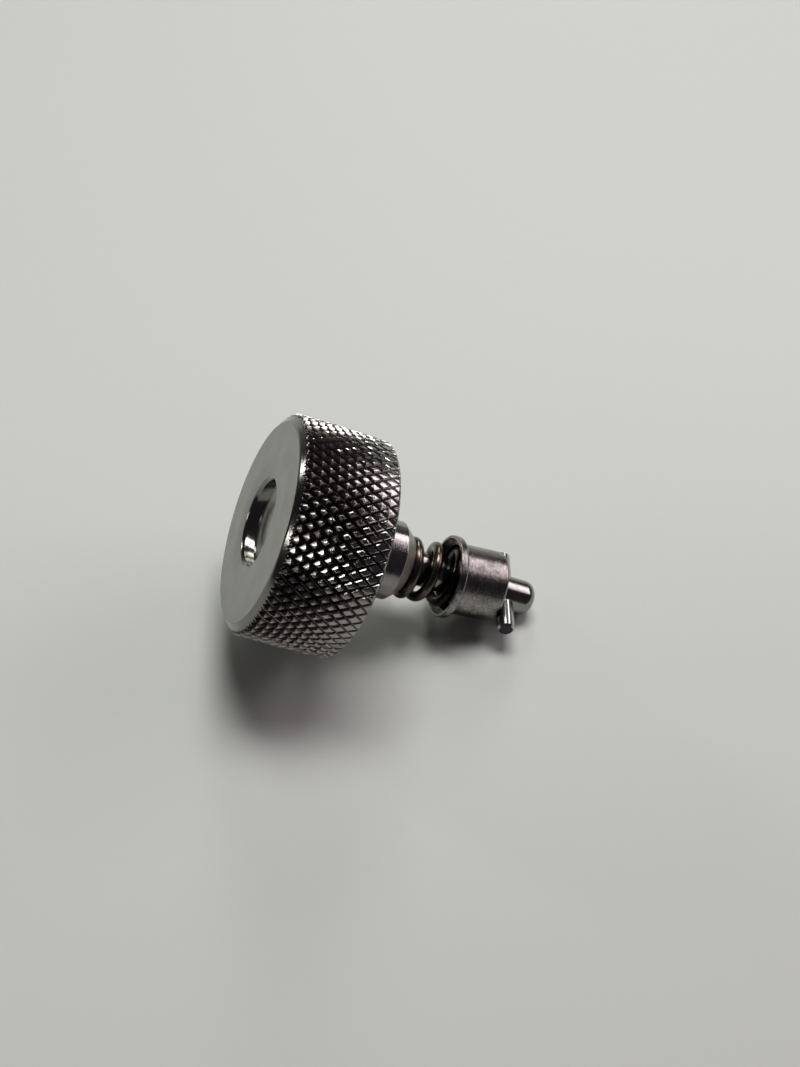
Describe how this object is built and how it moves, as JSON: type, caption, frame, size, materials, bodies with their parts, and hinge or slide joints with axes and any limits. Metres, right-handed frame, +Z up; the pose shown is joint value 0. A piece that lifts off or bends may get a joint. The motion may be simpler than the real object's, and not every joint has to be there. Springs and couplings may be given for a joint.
{
  "type": "quarter turn stud",
  "caption": "Knurled-knob quarter turn stud with a cross-pinned tip and a sprung cup that slides and turns on its shank, lying on its side.",
  "frame": {"origin": "on the table, at the middle of the object's footprint box as it lies at rest on the knob's back rim and the cup's closed end", "axes": "+X is level and runs from the knob towards the tip, under which the stud's own axis dips by 26.0 degrees; +Y is level along the cross pin; +Z is up"},
  "size_m": [0.0348, 0.0244, 0.0263],
  "materials": {
    "knob_steel": "turned and knurled, satin front face, bright chamfers",
    "stud_steel": "turned, smooth",
    "pin_steel": "ground, bright",
    "spring_steel": "dark oiled spring wire",
    "cup_steel": "drawn sheet, smooth"
  },
  "bodies": {
    "stud_body": {"knob": "knob_steel", "stud": "stud_steel", "cross_pin": "pin_steel"},
    "spring_body": {"spring": "spring_steel"},
    "cup_body": {"cup": "cup_steel"}
  },
  "joints": [
    {"name": "cup_turn", "type": "hinge", "parent": "stud_body", "child": "spring_body", "pos_m": [0.00789, 0, 0.00577], "axis": [0.8987, 0, -0.4385], "continuous": true},
    {"name": "cup_push", "type": "slide", "parent": "spring_body", "child": "cup_body", "axis": [-0.8987, 0, 0.4385], "range_m": [0, 0.0045], "stiffness_N_per_m": 28000, "deforming": ["spring"]}
  ]
}
